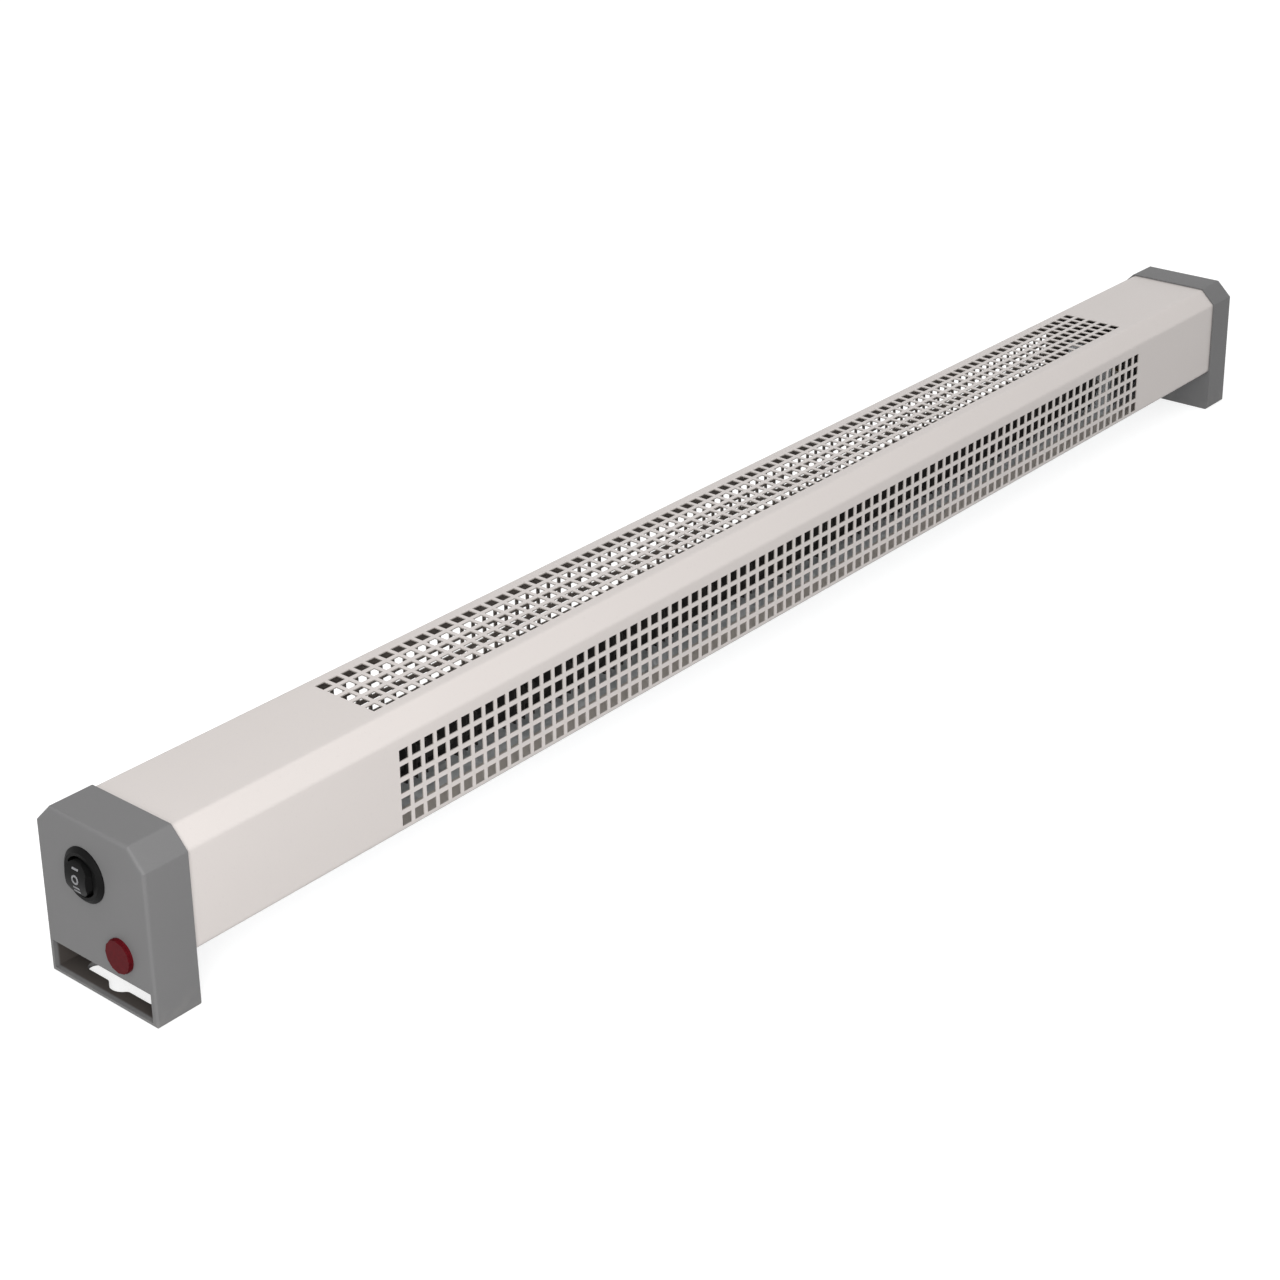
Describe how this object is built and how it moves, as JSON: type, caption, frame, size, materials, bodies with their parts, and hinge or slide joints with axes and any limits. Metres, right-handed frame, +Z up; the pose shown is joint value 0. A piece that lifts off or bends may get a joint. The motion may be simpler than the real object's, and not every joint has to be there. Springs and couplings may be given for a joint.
{
  "type": "electric convector heater",
  "caption": "Low, long electric convector heater: perforated bevelled steel casing between grey end caps that are its feet, with a round rocker switch and a red pilot lamp.",
  "frame": {"origin": "on the floor, in the middle of the overall box", "axes": "+X along the heater away from the switch end, -Y the front, +Z up"},
  "size_m": [0.8347, 0.063, 0.075],
  "materials": {
    "enamel_cream": "satin baked enamel",
    "grey_moulding": "fine matt moulding grain",
    "galvanised_steel": "galvanised sheet",
    "zinc_screws": "zinc plated",
    "bright_steel": "bright",
    "sheath_steel": "heat-darkened",
    "black_fins": "matt black",
    "black_moulding": "matt",
    "black_rocker": "satin",
    "white_print": "printed",
    "brass_parts": "satin",
    "red_lens": "translucent moulding",
    "lamp_glass": "clear",
    "white_insulator": "matt",
    "brown_wire": "insulation",
    "black_wire": "insulation",
    "grey_wire": "insulation",
    "blue_wire": "insulation",
    "green_wire": "insulation"
  },
  "bodies": {
    "heater": {"casing": "enamel_cream", "base_plate": "galvanised_steel", "base_screws": "zinc_screws", "switch_end_cap": "grey_moulding", "far_end_cap": "grey_moulding", "end_cap_screws": "zinc_screws", "switch_housing": "black_moulding", "switch_terminals": "brass_parts", "lamp_lens": "red_lens", "lamp_retainer": "bright_steel", "lamp_holder": "white_insulator", "neon_bulb": "lamp_glass", "lamp_terminals": "brass_parts", "front_heating_rod": "sheath_steel", "rear_heating_rod": "sheath_steel", "fin_pack": "black_fins", "rod_insulators": "white_insulator", "rod_pins": "brass_parts", "near_bracket": "galvanised_steel", "far_bracket": "galvanised_steel", "bracket_screws": "zinc_screws", "thermal_cutout": "black_moulding", "cutout_screws": "zinc_screws", "terminal_block": "white_insulator", "terminal_clamps": "brass_parts", "terminal_screws": "zinc_screws", "block_screws": "zinc_screws", "earth_screw": "brass_parts", "earth_nut": "brass_parts", "cord_bush": "black_moulding", "bush_nut": "black_moulding", "supply_wire": "brown_wire", "cutout_wire": "brown_wire", "stage_one_wire": "black_wire", "stage_two_wire": "grey_wire", "return_wire": "blue_wire", "earth_wire": "green_wire", "lamp_wires": "grey_wire", "rod_link": "brass_parts"},
    "rocker": {"switch_rocker": "black_rocker", "rocker_marks": "white_print", "rocker_plunger": "bright_steel", "rocker_spring": "bright_steel"}
  },
  "joints": [
    {"name": "rocker_tilt", "type": "hinge", "parent": "heater", "child": "rocker", "pos_m": [-0.4091, 0.0038, 0.053], "axis": [0, 1, 0], "range_deg": [-10, 10]}
  ]
}
